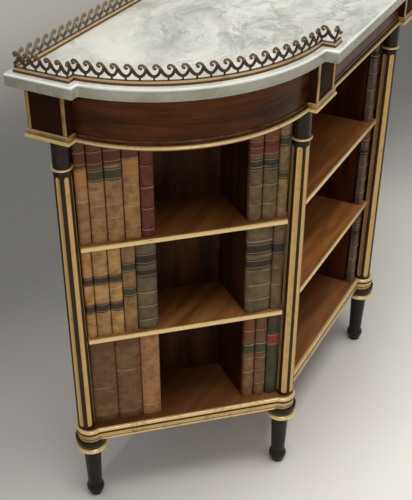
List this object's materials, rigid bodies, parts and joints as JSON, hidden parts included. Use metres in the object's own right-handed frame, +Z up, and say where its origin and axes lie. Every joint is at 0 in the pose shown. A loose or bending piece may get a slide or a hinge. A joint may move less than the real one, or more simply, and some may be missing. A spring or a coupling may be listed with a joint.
{
  "type": "side cabinet",
  "caption": "Marble-topped side cabinet: bowed ends, open shelves between turned columns, false book spines beside the niches and a pierced gallery.",
  "frame": {"origin": "on the floor, under the middle of the marble top", "axes": "+X to the cabinet's right as seen from behind its front, +Z up, the front faces -Y"},
  "size_m": [1.028, 0.381, 0.8875],
  "materials": {
    "marble": "polished",
    "bronze": "dark patina",
    "lacquered_brass": "satin",
    "gilt_brass": "satin, worn",
    "book_leather": "satin",
    "ebonised_wood": "polished",
    "rosewood": "polished",
    "carcass_wood": "matte",
    "mahogany": "polished"
  },
  "bodies": {
    "root": {"back_panel": "carcass_wood", "base_board": "mahogany", "base_moulding_front": "gilt_brass", "base_moulding_left": "gilt_brass", "base_moulding_right": "gilt_brass", "block_frame_front_left": "gilt_brass", "block_frame_front_right": "gilt_brass", "block_frame_rear_left": "gilt_brass", "block_frame_rear_right": "gilt_brass", "book_spines_bottom_left": "book_leather", "book_spines_bottom_right": "book_leather", "book_spines_middle_bay": "book_leather", "book_spines_middle_left": "book_leather", "book_spines_middle_right": "book_leather", "book_spines_top_left": "book_leather", "book_spines_top_right": "book_leather", "column_front_left": "ebonised_wood", "column_front_right": "ebonised_wood", "column_rear_left": "ebonised_wood", "column_rear_right": "ebonised_wood", "column_rings": "gilt_brass", "corner_block_front_left": "ebonised_wood", "corner_block_front_right": "ebonised_wood", "corner_block_rear_left": "ebonised_wood", "corner_block_rear_right": "ebonised_wood", "frieze_beads": "rosewood", "frieze_bow_left": "rosewood", "frieze_bow_right": "rosewood", "frieze_gilt_front": "gilt_brass", "frieze_gilt_left": "gilt_brass", "frieze_gilt_right": "gilt_brass", "frieze_rail_back": "carcass_wood", "frieze_rail_front": "rosewood", "gallery_moulding_back": "lacquered_brass", "gallery_moulding_left": "lacquered_brass", "gallery_moulding_right": "lacquered_brass", "gallery_scroll_back": "bronze", "gallery_scroll_left": "bronze", "gallery_scroll_right": "bronze", "leg_collars": "gilt_brass", "leg_front_left": "ebonised_wood", "leg_front_right": "ebonised_wood", "leg_rear_left": "ebonised_wood", "leg_rear_right": "ebonised_wood", "marble_top": "marble", "niche_back_left": "mahogany", "niche_back_right": "mahogany", "niche_linings_left": "mahogany", "niche_linings_right": "mahogany", "partition_left": "mahogany", "partition_right": "mahogany", "shelf_edges_lower": "gilt_brass", "shelf_edges_upper": "gilt_brass", "shelf_lower_left": "mahogany", "shelf_lower_middle": "mahogany", "shelf_lower_right": "mahogany", "shelf_upper_left": "mahogany", "shelf_upper_middle": "mahogany", "shelf_upper_right": "mahogany", "soffit_board": "carcass_wood"}
  },
  "joints": []
}
